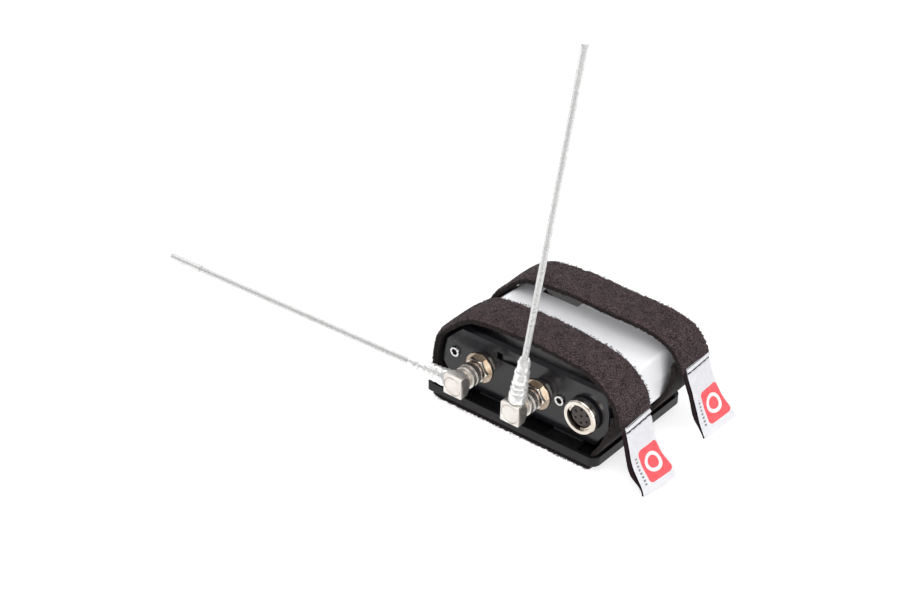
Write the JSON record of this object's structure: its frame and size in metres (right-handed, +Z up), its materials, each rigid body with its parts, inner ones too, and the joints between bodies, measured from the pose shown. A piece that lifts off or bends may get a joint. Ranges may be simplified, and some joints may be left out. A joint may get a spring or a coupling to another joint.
{
  "type": "wireless audio receiver",
  "caption": "Pocket wireless receiver strapped into a threaded cradle, with swivelling whip antennas, a round locking audio connector and a slide switch on its front panel.",
  "frame": {"origin": "on the axis of the cradle's threaded insert, at its mouth on the underside of the foot, which is the resting plane", "axes": "+Z up, out of the top of the receiver; -Y out of the antenna panel; +X to the right as seen facing that panel"},
  "size_m": [0.2022, 0.0645, 0.1481],
  "materials": {
    "tray": "moulded glass-filled nylon, semi-gloss black",
    "insert_brass": "turned, plain",
    "pad_rubber": "matt",
    "webbing": "woven nylon loop pile, near black",
    "label_cloth": "woven satin ribbon, off white",
    "sleeve_silver": "fine satin anodised, natural silver",
    "cap_black": "satin black powder coat on zinc casting",
    "screw_steel": "bright stainless",
    "pillar_metal": "plain turned",
    "board_laminate": "green solder mask",
    "shield_tin": "tinned sheet",
    "chip_black": "epoxy",
    "window_tint": "smoked acrylic",
    "display_dark": "unlit display",
    "button_black": "matt keypad rubber",
    "switch_plastic": "moulded",
    "connector_nickel": "bright nickel plate",
    "connector_insert": "dark moulded insulator",
    "contact_gold": "gold plated",
    "nickel_satin": "satin nickel plate on brass",
    "ptfe_white": "white fluoropolymer",
    "boot_clear": "smoky clear heat-shrink and sealant",
    "wire_steel": "stranded spring steel",
    "sleeve_clear": "clear plastic tube"
  },
  "bodies": {
    "receiver_cradle": {"cradle_tray": "tray", "thread_insert": "insert_brass", "seat_pads": "pad_rubber", "front_strap": "webbing", "rear_strap": "webbing", "housing_sleeve": "sleeve_silver", "front_end_cap": "cap_black", "rear_end_cap": "cap_black", "front_screws": "screw_steel", "rear_screws": "screw_steel", "tie_pillars": "pillar_metal", "main_board": "board_laminate", "left_rf_shield": "shield_tin", "right_rf_shield": "shield_tin", "processor_chip": "chip_black", "display_window": "window_tint", "display_module": "display_dark", "button_switches": "switch_plastic", "slide_switch_frame": "switch_plastic", "audio_socket_shell": "connector_nickel", "audio_socket_insert": "connector_insert", "audio_socket_contacts": "contact_gold", "audio_socket_gasket": "pad_rubber", "audio_socket_nut": "connector_nickel", "left_socket_body": "nickel_satin", "left_socket_insulator": "ptfe_white", "left_socket_contact": "contact_gold", "left_socket_washer": "nickel_satin", "left_socket_nut": "nickel_satin", "right_socket_body": "nickel_satin", "right_socket_insulator": "ptfe_white", "right_socket_contact": "contact_gold", "right_socket_washer": "nickel_satin", "right_socket_nut": "nickel_satin"},
    "left_antenna": {"left_elbow_body": "nickel_satin", "left_elbow_cap": "nickel_satin", "left_elbow_insulator": "ptfe_white", "left_elbow_pin": "contact_gold", "left_boot": "boot_clear", "left_whip_wire": "wire_steel", "left_whip_sleeve": "sleeve_clear", "left_tip_sleeve": "sleeve_clear"},
    "left_coupling_nut": {"left_coupling_nut": "nickel_satin"},
    "right_antenna": {"right_elbow_body": "nickel_satin", "right_elbow_cap": "nickel_satin", "right_elbow_insulator": "ptfe_white", "right_elbow_pin": "contact_gold", "right_boot": "boot_clear", "right_whip_wire": "wire_steel", "right_whip_sleeve": "sleeve_clear", "right_tip_sleeve": "sleeve_clear"},
    "right_coupling_nut": {"right_coupling_nut": "nickel_satin"},
    "slide_switch": {"slide_switch_knob": "switch_plastic"},
    "menu_up": {"menu_up_button": "button_black"},
    "menu_down": {"menu_down_button": "button_black"},
    "front_tab": {"front_pull_tab": "webbing", "front_label": "label_cloth"},
    "rear_tab": {"rear_pull_tab": "webbing", "rear_label": "label_cloth"}
  },
  "joints": [
    {"name": "left_antenna_turn", "type": "hinge", "parent": "receiver_cradle", "child": "left_antenna", "pos_m": [-0.0157, -0.0307, 0.0168], "axis": [0, 1, 0], "range_deg": [-3, 93.1]},
    {"name": "right_antenna_turn", "type": "hinge", "parent": "receiver_cradle", "child": "right_antenna", "pos_m": [0.0073, -0.0307, 0.0168], "axis": [0, 1, 0], "range_deg": [-7.2, 84]},
    {"name": "left_coupling_nut_spin", "type": "hinge", "parent": "left_antenna", "child": "left_coupling_nut", "pos_m": [-0.0157, -0.0307, 0.0168], "axis": [0, 1, 0], "continuous": true},
    {"name": "right_coupling_nut_spin", "type": "hinge", "parent": "right_antenna", "child": "right_coupling_nut", "pos_m": [0.0073, -0.0307, 0.0168], "axis": [0, 1, 0], "continuous": true},
    {"name": "slide_switch_throw", "type": "slide", "parent": "receiver_cradle", "child": "slide_switch", "axis": [-1, 0, 0], "range_m": [0, 0.0017]},
    {"name": "menu_up_press", "type": "slide", "parent": "receiver_cradle", "child": "menu_up", "axis": [0, -1, 0], "range_m": [0, 0.0005], "stiffness_N_per_m": 400},
    {"name": "menu_down_press", "type": "slide", "parent": "receiver_cradle", "child": "menu_down", "axis": [0, -1, 0], "range_m": [0, 0.0005], "stiffness_N_per_m": 400},
    {"name": "front_tab_lift", "type": "hinge", "parent": "receiver_cradle", "child": "front_tab", "pos_m": [0.0428, -0.0147, 0.0202], "axis": [0, 1, 0], "range_deg": [-90, 0], "stiffness_Nm_per_rad": 0.005},
    {"name": "rear_tab_lift", "type": "hinge", "parent": "receiver_cradle", "child": "rear_tab", "pos_m": [0.045, 0.0143, 0.0266], "axis": [0, 1, 0], "range_deg": [-90, 10], "stiffness_Nm_per_rad": 0.005}
  ]
}
